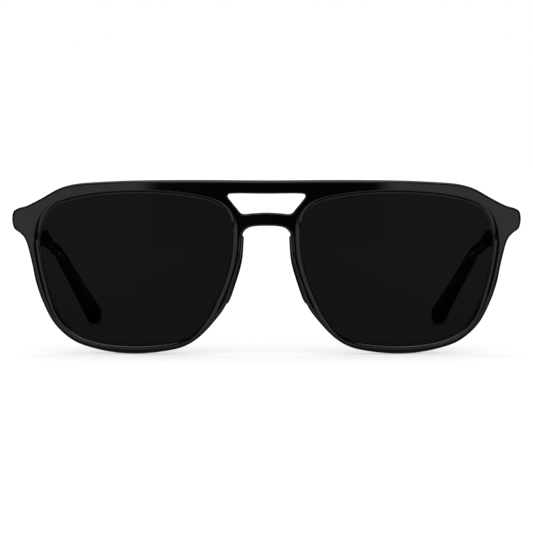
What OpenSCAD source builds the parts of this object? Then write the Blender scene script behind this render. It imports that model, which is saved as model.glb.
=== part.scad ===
// Double-bridge navigator sunglasses: a wrapped acetate front with two dark lenses,
// bonded nose pads, screwed barrel hinges and slim folding temples with acetate tips.
// +Z is up, -Y is forward and +X is the wearer's left. The origin lies on the resting
// surface, under the middle of the open sunglasses. Sizes are in millimetres.

/* [Lenses] */
// Width of a lens between the rim's visible edges
lens_w = 55.3; // [48:0.1:60]
// Height of a lens between the rim's visible edges
lens_h = 43.1; // [39:0.1:47]
// Thickness of a lens
lens_t = 2.0; // [1.4:0.1:2.3]
// How far the lens face lies behind the face of the front
lens_setback = 1.1; // [0.8:0.1:1.4]
// Depth of the groove in the rim that holds the lens
groove_depth = 0.7; // [0.4:0.1:1]

/* [Front] */
// Radius of the wrap of the front, seen from above
wrap_radius = 250; // [200:5:400]
// Thickness of the acetate of the front
front_t = 4.0; // [3.8:0.1:5]
// Distance between the two lenses at the nose
bridge_w = 19.3; // [17:0.1:22]
// Width of the rim under a lens
rim_low = 2.7; // [2:0.1:3.5]
// Width of the rim at the nose
rim_nose = 2.7; // [2.2:0.1:3.2]
// Width of the rim at the temple
rim_side = 3.15; // [2.4:0.05:3.6]
// Height of the brow bar above the lenses
brow_h = 3.8; // [3:0.1:5]
// Height of the gap between the brow bar and the lower bridge
gap_h = 5.4; // [4.6:0.1:6]
// Height of the lower bridge
bridge_h = 3.7; // [3:0.1:4.6]
// How far an end piece reaches out past its lens
end_reach = 8.1; // [7:0.1:9]
// Depth of the end pieces, from the face of the bridge to their rear face
end_depth = 17.5; // [17:0.1:20]

/* [Nose pads] */
// How far a pad stands out behind the front
pad_depth = 7.2; // [5:0.1:9]
// Thickness of a pad
pad_t = 2.6; // [2:0.1:3.2]
// Height of a pad along the nose
pad_h = 19.4; // [16:0.2:20]
// How far a pad shows past the rim, towards the nose
pad_overhang = 0.95; // [0.3:0.05:1.2]
// Angle at which the pads open towards the face
pad_flare = 20; // [5:1:30]

/* [Hinges] */
// Height of the hinge's middle above the resting surface
hinge_z = 32.5; // [31.9:0.1:33.3]
// Height of the stack of three barrels
hinge_h = 3.6; // [3:0.1:4.2]
// Radius of the barrels
barrel_r = 1.2; // [1.1:0.05:1.3]
// Radius of the hinge screw's shank
pivot_r = 0.6; // [0.45:0.05:0.7]
// Thickness of the hinge plates
plate_t = 0.85; // [0.7:0.05:1]
// Length of the hinge plate on a temple
plate_l = 20; // [17:0.5:26]
// Angle by which the open temples slope down
temple_slope = 5; // [4:0.5:6]

/* [Temples] */
// Thickness of a metal arm
arm_t = 1.7; // [1.4:0.1:2]
// Height of a metal arm
arm_h = 3.3; // [3:0.1:4]
// Width of the arm's front end, where it closes on the end piece
lug_w = 3.4; // [3.2:0.1:4]
// Height of the arm's front end
lug_h = 4.4; // [4.2:0.1:5]
// Length of the arm up to the mouth of its tip
arm_l = 58; // [50:1:62]
// Length of the arm's tongue inside the tip
tongue_l = 44; // [30:1:48]
// Distance from the arm's front end to the bend behind the ear
bend_start = 69; // [66:1:80]
// Length of the bend behind the ear
bend_l = 16; // [12:1:22]
// Angle of the tip below the horizontal, behind the bend
tip_drop = 28; // [26:1:34]
// Angle by which the tip turns in towards the head
tip_turn = 10.5; // [6:0.5:12]
// Angle by which the arm spreads outwards
arm_spread = 0.8; // [0:0.1:1.5]
// Thickness of the tip at its mouth
tip_t = 2.4; // [2.1:0.1:2.8]
// Height of the tip at its mouth
tip_h = 3.8; // [3.6:0.1:4.4]
// Thickness of the tip near its end
tip_end_t = 4.6; // [4:0.1:5.2]
// Height of the tip near its end
tip_end_h = 6.2; // [5.4:0.1:7]

/* [Hidden] */

acetate_colour = "#141416";
lens_colour = "#1c1c1e";
arm_colour = "#1a1a1b";
steel_colour = "#8c8f93";

// Clearances
fit_gap = 0.05;     // lens in its groove, tongue in its socket, screw in the moving barrel
seat_gap = 0.02;    // pieces that are pressed, screwed or bonded together
turn_gap = 0.1;     // between the barrels of a hinge
stop_gap = 0.3;     // between an open temple and its end piece

// Main lines of the front
lens_in = bridge_w / 2;
lens_out = lens_in + lens_w;
lens_low = rim_low;
lens_top = lens_low + lens_h;
front_top = lens_top + brow_h;
end_x = lens_out + end_reach;
brow_dip = 0.1;     // how far the brow bar's top falls in the middle
gap_top = front_top - brow_dip - brow_h;
gap_low = gap_top - gap_h;
bridge_low = gap_low - bridge_h;
curve_steps = 4;    // straight pieces between two points of an outline

// Main lines of the hinges and temples
hinge_x = lens_out - 0.65;     // the barrels stand just behind the rim
hinge_y = end_depth + 0.5;
block_x = hinge_x + barrel_r + 0.2;
barrel_gap = 0.2;   // between a barrel and what turns past it
knuckle_h = (hinge_h - 2 * turn_gap) / 3;
arm_y = end_depth + stop_gap;
arm_x = hinge_x + 0.7;
screw_r = 0.4;      // shanks of the plate screws and rivets
head_r = 0.65;
head_t = 0.3;

// ---- Curves ----

// A point on a smooth curve through b and c, with a and d as the points beside them
function knot(a, b) = sqrt(max(norm(b - a), 0.001));
function mix(a, b, from, to, at) = a * (to - at) / (to - from) + b * (at - from) / (to - from);
function curve_point(a, b, c, d, part) =
    let (
        k1 = knot(a, b),
        k2 = k1 + knot(b, c),
        k3 = k2 + knot(c, d),
        at = k1 + (k2 - k1) * part,
        ab = mix(a, b, 0, k1, at),
        bc = mix(b, c, k1, k2, at),
        cd = mix(c, d, k2, k3, at)
    )
    mix(mix(ab, bc, 0, k2, at), mix(bc, cd, k1, k3, at), k1, k2, at);

// A smooth closed curve through the points
function smooth_loop(points) =
    let (n = len(points))
    [for (i = [0:n - 1], step = [0:curve_steps - 1])
        curve_point(points[(i + n - 1) % n], points[i], points[(i + 1) % n],
            points[(i + 2) % n], step / curve_steps)];

// The unit vector that points out of a clockwise loop at point i
function out_of(points, i) =
    let (
        n = len(points),
        way = points[(i + 1) % n] - points[(i + n - 1) % n]
    )
    [-way.y, way.x] / norm(way);

// A loop moved outwards by a distance
function grown(points, distance) =
    [for (i = [0:len(points) - 1]) points[i] + distance * out_of(points, i)];

// Half an outline, completed with its mirror image. Its ends lie on the middle plane.
function both_halves(half) =
    concat(half, [for (i = [len(half) - 2:-1:1]) [-half[i].x, half[i].y]]);

// How far the rear face of the front lies behind the bridge's face, at a distance from the middle
function rear_face(x) =
    wrap_radius - sqrt((wrap_radius - front_t) * (wrap_radius - front_t) - x * x);

// ---- Outlines of the front, as [x, z] ----

// The lens edge, clockwise from the top, as shares of the lens width and height
lens_shares = [
    [0.48, 1.00], [0.69, 0.985], [0.84, 0.95], [0.92, 0.908], [0.965, 0.845],
    [0.99, 0.765], [1.00, 0.675], [0.989, 0.555], [0.967, 0.423], [0.936, 0.293],
    [0.884, 0.164], [0.80, 0.068], [0.69, 0.02], [0.53, 0.00], [0.37, 0.010],
    [0.265, 0.035], [0.20, 0.078], [0.125, 0.19], [0.085, 0.29], [0.042, 0.42],
    [0.011, 0.56], [0.00, 0.69], [0.004, 0.81], [0.034, 0.885], [0.085, 0.934],
    [0.26, 0.984]
];
lens_points = [for (s = lens_shares) [lens_in + s.x * lens_w, lens_low + s.y * lens_h]];
lens_edge = smooth_loop(lens_points);

// The rim's outer edge follows the lens edge from the temple side round to the nose.
// Its width at each point is a share of the rim's named width there.
first_rim_point = 7;
last_rim_point = 21;
rim_shares = [1, 1, 0.92, 0.88, 0.87, 0.88, 1, 0.9, 0.8, 0.7, 0.85, 1.13, 1, 1, 1];
rim_points = [
    for (i = [first_rim_point:last_rim_point])
        let (
            n = out_of(lens_points, i),
            rim_w = n.x > 0 ? rim_side : rim_nose,
            share = rim_shares[i - first_rim_point]
        )
        lens_points[i] + share * [n.x * rim_w, n.y * rim_low]
];

outline_points = both_halves(concat(
    // Brow bar, from the middle outwards
    [
        [0, front_top - brow_dip],
        [lens_out * 0.33, front_top],
        [lens_out * 0.59, front_top - 0.2],
        [lens_out * 0.73, front_top - 0.6],
        [lens_out * 0.83, front_top - 1.1],
        [end_x - 15.7, front_top - 1.8],
        [end_x - 13.1, front_top - 2.8]
    ],
    // End piece
    [
        [end_x - 8.3, front_top - 5.5],
        [end_x - 4.2, front_top - 7.5],
        [end_x - 1.8, front_top - 8.2],
        [end_x - 0.4, front_top - 9.1],
        [end_x, front_top - 10.5],
        [end_x, front_top - 12.1],
        [end_x - 0.6, front_top - 14.1],
        [end_x - 2.2, front_top - 15.3],
        [end_x - 3.7, front_top - 17.0]
    ],
    rim_points,
    // Lower edge of the lower bridge
    [
        [lens_in - 3.1, bridge_low - 1.9],
        [lens_in - 4.3, bridge_low - 0.7],
        [lens_in - 5.8, bridge_low - 0.2],
        [0, bridge_low]
    ]
));
front_outline = smooth_loop(outline_points);

gap_points = both_halves([
    [0, gap_top],
    [lens_in + 0.4, gap_top],
    [lens_in + 1.2, gap_top - 0.2],
    [lens_in + 1.4, gap_top - 0.8],
    [lens_in + 0.6, gap_top - 2.0],
    [lens_in - 1.2, gap_low + 1.2],
    [lens_in - 2.3, gap_low - 0.1],
    [lens_in - 3.4, gap_low - 0.4],
    [lens_in - 5.6, gap_low - 0.2],
    [0, gap_low]
]);
bridge_gap = smooth_loop(gap_points);

// ---- The line of a temple ----

drop_start = bend_start + bend_l;

// The arm's angle in one plane at a distance along it: it runs straight, bends, runs straight
function bend_angle(s, first, last) =
    first + (last - first) * min(max((s - bend_start) / bend_l, 0), 1);
function bend_rate(first, last) = (last - first) / bend_l * PI / 180;

// How far the arm has run forward, and fallen to the side, at a distance along it
function run(s, first, last) =
    min(s, bend_start) * cos(first)
    + (sin(bend_angle(s, first, last)) - sin(first)) / bend_rate(first, last)
    + max(s - drop_start, 0) * cos(last);
function fall(s, first, last) =
    min(s, bend_start) * sin(first)
    + (cos(first) - cos(bend_angle(s, first, last))) / bend_rate(first, last)
    + max(s - drop_start, 0) * sin(last);

function temple_at(s) = [
    arm_x - fall(s, -arm_spread, tip_turn),
    arm_y + run(s, temple_slope, tip_drop),
    hinge_z - fall(s, temple_slope, tip_drop)
];

// The tip ends where its round end just rests on the surface
end_r = tip_end_h / 2;
temple_l = drop_start + (temple_at(drop_start).z - end_r) / sin(tip_drop);
part_depth = temple_at(temple_l).y + end_r;

// A ring of points round the temple's line: s along it, w by h across it, shifted outwards
ring_points = 20;
ring_squareness = 2.8;
function rounded(value) = sign(value) * pow(abs(value), 2 / ring_squareness);
function ring(s, w, h, outwards = 0) =
    let (
        pitch = bend_angle(s, temple_slope, tip_drop),
        yaw = bend_angle(s, -arm_spread, tip_turn),
        side = [cos(yaw), sin(yaw), 0],
        up = [-sin(yaw) * sin(pitch), cos(yaw) * sin(pitch), cos(pitch)]
    )
    [for (i = [0:ring_points - 1])
        let (turn = 360 * i / ring_points)
        temple_at(s)
            + side * (outwards + rounded(cos(turn)) * w / 2)
            + up * rounded(sin(turn)) * h / 2];

// ---- Helpers ----

// From the bridge's face at y = 0 to the part's own origin
module placed() {
    translate([0, -part_depth / 2, 0]) children();
}

module mirrored() {
    mirror([1, 0, 0]) children();
}

// A flat outline in x and z, run through the whole depth of the front
module run_back(outline, from = -1, to = end_depth) {
    translate([0, to, 0])
        rotate([90, 0, 0])
            linear_extrude(height = to - from)
                polygon(outline);
}

// A solid upright cylinder on the centre of the wrap, its face set back by a depth
module wrapped(depth) {
    translate([0, wrap_radius, -5])
        cylinder(r = wrap_radius - depth, h = front_top + 20, $fn = 200);
}

module wrapped_sheet(depth, thick) {
    difference() {
        wrapped(depth);
        wrapped(depth + thick);
    }
}

// A closed skin through rings that have the same number of points
module skin(rings) {
    n = len(rings[0]);
    last = len(rings) - 1;
    polyhedron(
        points = [for (r = rings) for (p = r) p],
        faces = concat(
            [[for (i = [0:n - 1]) i]],
            [for (k = [0:last - 1], i = [0:n - 1])
                [k * n + i, (k + 1) * n + i, (k + 1) * n + (i + 1) % n, k * n + (i + 1) % n]],
            [[for (i = [n - 1:-1:0]) last * n + i]]
        )
    );
}

// The axes of the arm: y along it and x outwards, s from its front end
module on_arm(s) {
    translate(temple_at(s))
        rotate([-temple_slope, 0, -arm_spread])
            children();
}

module upright(r, low, high) {
    translate([hinge_x, hinge_y, low])
        cylinder(r = r, h = high - low, $fn = 48);
}

// ---- Front ----

module front_frame() {
    color(acetate_colour) placed() difference() {
        intersection() {
            run_back(front_outline);
            difference() {
                wrapped(0);
                difference() {
                    wrapped(front_t);
                    end_block();
                    mirrored() end_block();
                }
            }
        }
        run_back(bridge_gap, to = end_depth + 1);
        lens_room();
        mirrored() lens_room();
        plate_screw_shanks(screw_r + seat_gap, seat_gap);
        mirrored() plate_screw_shanks(screw_r + seat_gap, seat_gap);
    }
}

// Where the front is left at its full depth, to carry the hinge
block_low = hinge_z - lug_h / 2 - stop_gap;
module end_block() {
    translate([block_x, 0, block_low])
        cube([end_reach + 5, end_depth + 1, front_top]);
}

// The lens opening and the groove round it
module lens_room() {
    run_back(lens_edge, to = end_depth + 1);
    intersection() {
        run_back(grown(lens_edge, groove_depth + fit_gap));
        wrapped_sheet(lens_setback - fit_gap, lens_t + 2 * fit_gap);
    }
}

module left_lens() {
    color(lens_colour) placed() intersection() {
        run_back(grown(lens_edge, groove_depth));
        wrapped_sheet(lens_setback, lens_t);
    }
}

module right_lens() {
    mirrored() left_lens();
}

// A pad is a stack of level rings that follow the rim's nose edge and lie on its rear face
pad_rings = 14;
pad_top = bridge_low - 2.9;
nose_edge = [for (p = front_outline) if (p.x > 0 && p.x < lens_in + 8 && p.y < bridge_low) [p.y, p.x]];
function pad_ring(turn) =
    let (
        share = (1 - cos(turn)) / 2,
        height = pad_top - pad_h * share,
        edge = lookup(height, nose_edge),
        size = pow(max(4 * share * (1 - share), 0.02), 0.45),
        long = pad_depth * size,
        thick = pad_t * size,
        foot = edge - pad_overhang * pow(size, 0.25) + thick / 2
    )
    [for (i = [0:ring_points - 1])
        let (
            way = 360 * i / ring_points,
            back = long * (0.45 + 0.55 * rounded(cos(way))),
            x = foot + thick / 2 * rounded(sin(way)) + back * sin(pad_flare),
            y = rear_face(foot) + back * cos(pad_flare)
        )
        [x, max(y, rear_face(x) + seat_gap), height]];

module left_nose_pad() {
    color(acetate_colour) placed()
        skin([for (k = [0:pad_rings]) pad_ring(180 * k / pad_rings)]);
}

module right_nose_pad() {
    mirrored() left_nose_pad();
}

// ---- Hinges ----

plate_y = rear_face(block_x) + barrel_gap / 2;
plate_back = hinge_y - barrel_r - barrel_gap;
plate_h = hinge_h + 1;
front_plate_x = block_x - seat_gap - plate_t;
screw_y = (plate_y + plate_back) / 2;
screw_rise = plate_h / 2 - head_r - 0.15;
screw_l = 2;

// The upper barrel is bored to turn on the screw's shank, and the lower one holds its thread
module left_front_hinge() {
    color(steel_colour) placed() difference() {
        union() {
            translate([front_plate_x, plate_y, hinge_z - plate_h / 2])
                cube([plate_t, plate_back - plate_y, plate_h]);
            for (low = [hinge_z - hinge_h / 2, hinge_z + hinge_h / 2 - knuckle_h]) {
                upright(barrel_r, low, low + knuckle_h);
                translate([hinge_x, plate_back - 0.1, low])
                    cube([barrel_r, barrel_r + barrel_gap, knuckle_h]);
            }
        }
        upright(pivot_r + fit_gap, hinge_z, hinge_z + hinge_h);
        upright(pivot_r + seat_gap, hinge_z - hinge_h, hinge_z);
        plate_screw_shanks(screw_r + seat_gap, 1);
    }
}

module right_front_hinge() {
    mirrored() left_front_hinge();
}

// The shanks of the two screws that hold the plate, or the holes for them
module plate_screw_shanks(r, extra) {
    for (side = [-1, 1])
        translate([front_plate_x - extra, screw_y, hinge_z + side * screw_rise])
            rotate([0, 90, 0])
                cylinder(r = r, h = screw_l + plate_t + extra * 2, $fn = 32);
}

module left_plate_screws() {
    color(steel_colour) placed() {
        plate_screw_shanks(screw_r, 0);
        for (side = [-1, 1])
            translate([front_plate_x - seat_gap - head_t, screw_y, hinge_z + side * screw_rise])
                rotate([0, 90, 0])
                    cylinder(r = head_r, h = head_t + seat_gap, $fn = 32);
    }
}

module right_plate_screws() {
    mirrored() left_plate_screws();
}

pivot_head_r = barrel_r - 0.15;
pivot_head_t = 0.5;
slot_w = 0.25;
slot_depth = 0.22;
module left_hinge_screw() {
    head_low = hinge_z + hinge_h / 2 + seat_gap;
    color(steel_colour) placed() difference() {
        union() {
            upright(pivot_r, hinge_z - hinge_h / 2, head_low + 0.1);
            upright(pivot_head_r, head_low, head_low + pivot_head_t);
        }
        translate([hinge_x, hinge_y, head_low + pivot_head_t])
            cube([slot_w, 2 * barrel_r, 2 * slot_depth], center = true);
    }
}

module right_hinge_screw() {
    mirrored() left_hinge_screw();
}

plate_start = hinge_y + barrel_r + barrel_gap - arm_y;
temple_plate_h = arm_h - 0.4;
rivet_places = [plate_start + plate_l * 0.5, plate_start + plate_l * 0.86];

module left_temple_hinge() {
    plate_x = -arm_t / 2 - seat_gap - plate_t;
    color(steel_colour) placed() difference() {
        union() {
            upright(barrel_r, hinge_z - knuckle_h / 2, hinge_z + knuckle_h / 2);
            translate([arm_x + plate_x, hinge_y, hinge_z - knuckle_h / 2])
                cube([plate_t, barrel_r + barrel_gap + 0.8, knuckle_h]);
            on_arm(0)
                translate([plate_x, plate_start, -temple_plate_h / 2])
                    cube([plate_t, plate_l, temple_plate_h]);
        }
        upright(pivot_r + fit_gap, hinge_z - hinge_h, hinge_z + hinge_h);
        rivet_shanks(screw_r + seat_gap, 1);
    }
}

module right_temple_hinge() {
    mirrored() left_temple_hinge();
}

module rivet_shanks(r, extra) {
    for (s = rivet_places)
        on_arm(s)
            translate([-arm_t / 2 - seat_gap - plate_t - extra, 0, 0])
                rotate([0, 90, 0])
                    cylinder(r = r, h = arm_t + seat_gap + plate_t + 2 * extra, $fn = 32);
}

module left_temple_rivets() {
    color(steel_colour) placed() {
        rivet_shanks(screw_r, 0);
        for (s = rivet_places)
            on_arm(s)
                translate([-arm_t / 2 - plate_t - 2 * seat_gap - head_t, 0, 0])
                    rotate([0, 90, 0])
                        cylinder(r = head_r, h = head_t + seat_gap, $fn = 32);
    }
}

module right_temple_rivets() {
    mirrored() left_temple_rivets();
}

// ---- Temples ----

lug_l = 10;
lug_steps = 5;
tongue_t = tip_t - 1.3;
tongue_h = tip_h - 1.7;
bend_steps = 8;

// Places along the tip's line, from one distance to another, close together in the bend
function along(from, to) = concat(
    [from],
    [for (i = [0:bend_steps])
        let (s = bend_start + bend_l * i / bend_steps)
        if (s > from + 0.5 && s < to - 0.5) s],
    [to]
);

function lug_ring(share) =
    let (
        ease = (1 + cos(180 * share)) / 2,
        w = arm_t + (lug_w - arm_t) * ease,
        h = arm_h + (lug_h - arm_h) * ease
    )
    ring(share * lug_l, w, h, (w - arm_t) / 2);

module left_temple_arm() {
    color(arm_colour) placed() difference() {
        skin(concat(
            [for (k = [0:lug_steps]) lug_ring(k / lug_steps)],
            [ring(arm_l, arm_t, arm_h)],
            [for (s = along(arm_l, arm_l + tongue_l)) ring(s, tongue_t, tongue_h)]
        ));
        // Room for the hinge's barrels, and for the screw's head above them
        upright(barrel_r + barrel_gap, hinge_z - lug_h, hinge_z + lug_h);
        rivet_shanks(screw_r + seat_gap, 1);
    }
}

module right_temple_arm() {
    mirrored() left_temple_arm();
}

// The tip widens more and more towards its end, which is rounded
function tip_ring(s) =
    let (flare = pow((s - arm_l) / (temple_l - arm_l), 2))
    ring(s, tip_t + (tip_end_t - tip_t) * flare, tip_h + (tip_end_h - tip_h) * flare);
flare_steps = 5;
round_steps = 6;
function end_ring(turn) =
    ring(temple_l + end_r * sin(turn), tip_end_t * pow(cos(turn), 0.6), tip_end_h * cos(turn));

module left_temple_tip() {
    mouth = arm_l + fit_gap;
    socket_end = arm_l + tongue_l + 4 * fit_gap;
    socket = along(mouth, socket_end);
    color(acetate_colour) placed() skin(concat(
        [for (i = [len(socket) - 1:-1:0])
            ring(socket[i], tongue_t + 2 * fit_gap, tongue_h + 2 * fit_gap)],
        [for (s = along(mouth, drop_start)) tip_ring(s)],
        [for (k = [1:flare_steps])
            tip_ring(drop_start + (temple_l - drop_start) * k / flare_steps)],
        [for (k = [1:round_steps]) end_ring(84 * k / round_steps)]
    ));
}

module right_temple_tip() {
    mirrored() left_temple_tip();
}

front_frame();
left_lens();
right_lens();
left_nose_pad();
right_nose_pad();
left_front_hinge();
right_front_hinge();
left_plate_screws();
right_plate_screws();
left_hinge_screw();
right_hinge_screw();
left_temple_hinge();
right_temple_hinge();
left_temple_rivets();
right_temple_rivets();
left_temple_arm();
right_temple_arm();
left_temple_tip();
right_temple_tip();
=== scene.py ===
"""The looks of the double-bridge navigator sunglasses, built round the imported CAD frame.

+Z is up, -Y is forward and +X is the wearer's left. Sizes are in metres. The front is a
dense skin drawn along the outlines that are read from the CAD model of the front.
"""

import math
from collections import namedtuple

import bmesh
import bpy
import numpy as np
from mathutils import Matrix, Vector
from mathutils.geometry import delaunay_2d_cdt


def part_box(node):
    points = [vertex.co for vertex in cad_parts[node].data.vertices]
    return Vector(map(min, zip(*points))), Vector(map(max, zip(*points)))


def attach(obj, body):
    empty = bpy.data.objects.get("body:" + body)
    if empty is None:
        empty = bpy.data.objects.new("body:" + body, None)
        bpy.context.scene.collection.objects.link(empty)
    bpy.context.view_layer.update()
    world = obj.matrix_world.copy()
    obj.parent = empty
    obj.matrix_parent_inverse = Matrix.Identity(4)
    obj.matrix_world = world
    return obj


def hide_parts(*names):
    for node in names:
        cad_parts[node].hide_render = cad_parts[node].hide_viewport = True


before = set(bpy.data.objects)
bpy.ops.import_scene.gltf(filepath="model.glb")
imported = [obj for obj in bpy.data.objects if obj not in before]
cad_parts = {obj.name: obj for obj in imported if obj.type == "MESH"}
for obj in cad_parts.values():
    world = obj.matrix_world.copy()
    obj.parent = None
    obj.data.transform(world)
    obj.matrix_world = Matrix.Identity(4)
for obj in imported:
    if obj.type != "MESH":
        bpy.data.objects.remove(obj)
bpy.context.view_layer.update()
MM = 0.001

# ---- Sizes of the front, as in the CAD source ----

FACE_LOW, FACE_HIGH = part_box("front_frame")
FACE_Y = FACE_LOW.y                 # front of the bridge
BLOCK_Y = FACE_HIGH.y               # rear face of the end pieces
WRAP_RADIUS = 250 * MM
AXIS_Y = FACE_Y + WRAP_RADIUS
FRONT_T = 4.0 * MM
FIT_GAP = 0.05 * MM                 # a lens in its groove, a tongue in its socket
SEAT_GAP = 0.02 * MM                # a pad on the rim
LENS_SETBACK = 1.1 * MM
LENS_T = 2.0 * MM
GROOVE = 0.75 * MM                  # depth of the groove round a lens
BLOCK_X = 65.7 * MM                 # inner wall of an end piece
BLOCK_LOW = 30.0 * MM               # ledge under an end piece
STEP = 0.5 * MM                     # distance between points along an outline


# ---- The wrapped face ----

def wrap_y(x, depth):
    """Where the surface that lies a depth behind the face has its y."""
    return AXIS_Y - np.sqrt((WRAP_RADIUS - depth) ** 2 - x ** 2)


def wrap_normal(x, depth=0.0):
    """The forward normal of that surface."""
    radius = WRAP_RADIUS - depth
    return np.stack([x / radius, -np.sqrt(1 - (x / radius) ** 2), np.zeros_like(x)], axis=-1)


def on_wrap(x, z, depth):
    """Points on that surface."""
    return np.stack([x, wrap_y(x, depth), z], axis=1)


def facing_forward(depth):
    """The place of a cap on that surface."""
    return lambda x, z: (on_wrap(x, z, depth), wrap_normal(x, depth))


def facing_back(depth):
    return lambda x, z: (on_wrap(x, z, depth), -wrap_normal(x, depth))


def unit(v):
    return v / np.linalg.norm(v, axis=-1, keepdims=True)


# ---- Outlines ----

def face_edges(node):
    """The closed edges of the face of the front, as [x, z] points, the longest first."""
    mesh = bmesh.new()
    mesh.from_mesh(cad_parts[node].data)
    bmesh.ops.remove_doubles(mesh, verts=mesh.verts, dist=1e-6)

    def on_face(vert):
        return abs(math.hypot(vert.co.x, vert.co.y - AXIS_Y) - WRAP_RADIUS) < 2e-6

    face = {f for f in mesh.faces if f.normal.y < -0.9 and all(on_face(v) for v in f.verts)}
    beside = {}
    for edge in mesh.edges:
        if sum(f in face for f in edge.link_faces) == 1:
            for vert in edge.verts:
                beside.setdefault(vert, []).append(edge.other_vert(vert))
    loops = []
    while beside:
        first = min(beside, key=lambda v: v.index)
        chain, last = [first], None
        while True:
            ahead = next(v for v in beside[chain[-1]] if v is not last)
            if ahead is first:
                break
            last = chain[-1]
            chain.append(ahead)
        for vert in chain:
            del beside[vert]
        loops.append(np.array([[v.co.x, v.co.z] for v in chain]))
    mesh.free()
    return sorted(loops, key=len, reverse=True)


def bare(points, slack=1e-6):
    """The points of a closed line, without those that lie on a straight stretch."""
    kept = list(points)
    i = 0
    while i < len(kept):
        a, b, c = kept[i - 1], kept[i], kept[(i + 1) % len(kept)]
        along = unit(c - a)
        aside = abs(along[0] * (b - a)[1] - along[1] * (b - a)[0])
        if aside < slack:
            kept.pop(i)
        else:
            i += 1
    return np.array(kept)


def smooth_closed(points, spacing, steps=16):
    """Evenly spaced points on a smooth closed curve through the points."""
    a, b, c, d = (np.roll(points, shift, axis=0)[:, None, :] for shift in (1, 0, -1, -2))
    share = np.linspace(0, 1, steps, endpoint=False)[None, :, None]
    knots = [np.zeros(b.shape[:2] + (1,))]
    for p, q in ((a, b), (b, c), (c, d)):
        gap = np.sqrt(np.linalg.norm(q - p, axis=-1, keepdims=True))
        knots.append(knots[-1] + gap)
    k0, k1, k2, k3 = knots
    at = k1 + (k2 - k1) * share

    def mix(p, q, low, high):
        return p * (high - at) / (high - low) + q * (at - low) / (high - low)

    ab, bc, cd = mix(a, b, k0, k1), mix(b, c, k1, k2), mix(c, d, k2, k3)
    curve = mix(mix(ab, bc, k0, k2), mix(bc, cd, k1, k3), k1, k2).reshape(-1, 2)
    closed = np.vstack([curve, curve[:1]])
    run = np.concatenate([[0], np.cumsum(np.linalg.norm(np.diff(closed, axis=0), axis=1))])
    count = int(round(run[-1] / spacing))
    where = np.linspace(0, run[-1], count, endpoint=False)
    return np.stack([np.interp(where, run, closed[:, k]) for k in (0, 1)], axis=1)


def area(points):
    x, z = points.T
    return 0.5 * np.sum(x * np.roll(z, -1) - np.roll(x, -1) * z)


class Edge:
    """A closed edge of the acetate: its points and the unit vectors that point out of it."""

    def __init__(self, points, hole):
        if area(points) < 0:
            points = points[::-1]
        self.points = points
        self.hole = hole
        way = unit(np.roll(points, -1, axis=0) - np.roll(points, 1, axis=0))
        out = np.stack([way[:, 1], -way[:, 0]], axis=1)
        out = unit(np.roll(out, 1, axis=0) + 2 * out + np.roll(out, -1, axis=0))
        self.out = -out if hole else out

    def inset(self, distance):
        """The edge moved into the acetate."""
        return self.points - self.out * np.reshape(distance, (-1, 1))

    def room(self, others):
        """The distance from each point to the nearest of the other edges."""
        rest = np.vstack([o.points for o in others])
        return np.array([np.min(np.linalg.norm(rest - p, axis=1)) for p in self.points])


# ---- Skins ----

Row = namedtuple("Row", "at normals")   # indices of points, and a normal for each
CAP_STEP = 2 * MM                       # between the points inside a cap
SHARP = math.radians(35)                # an edge that turns more than this shows as an edge


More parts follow.
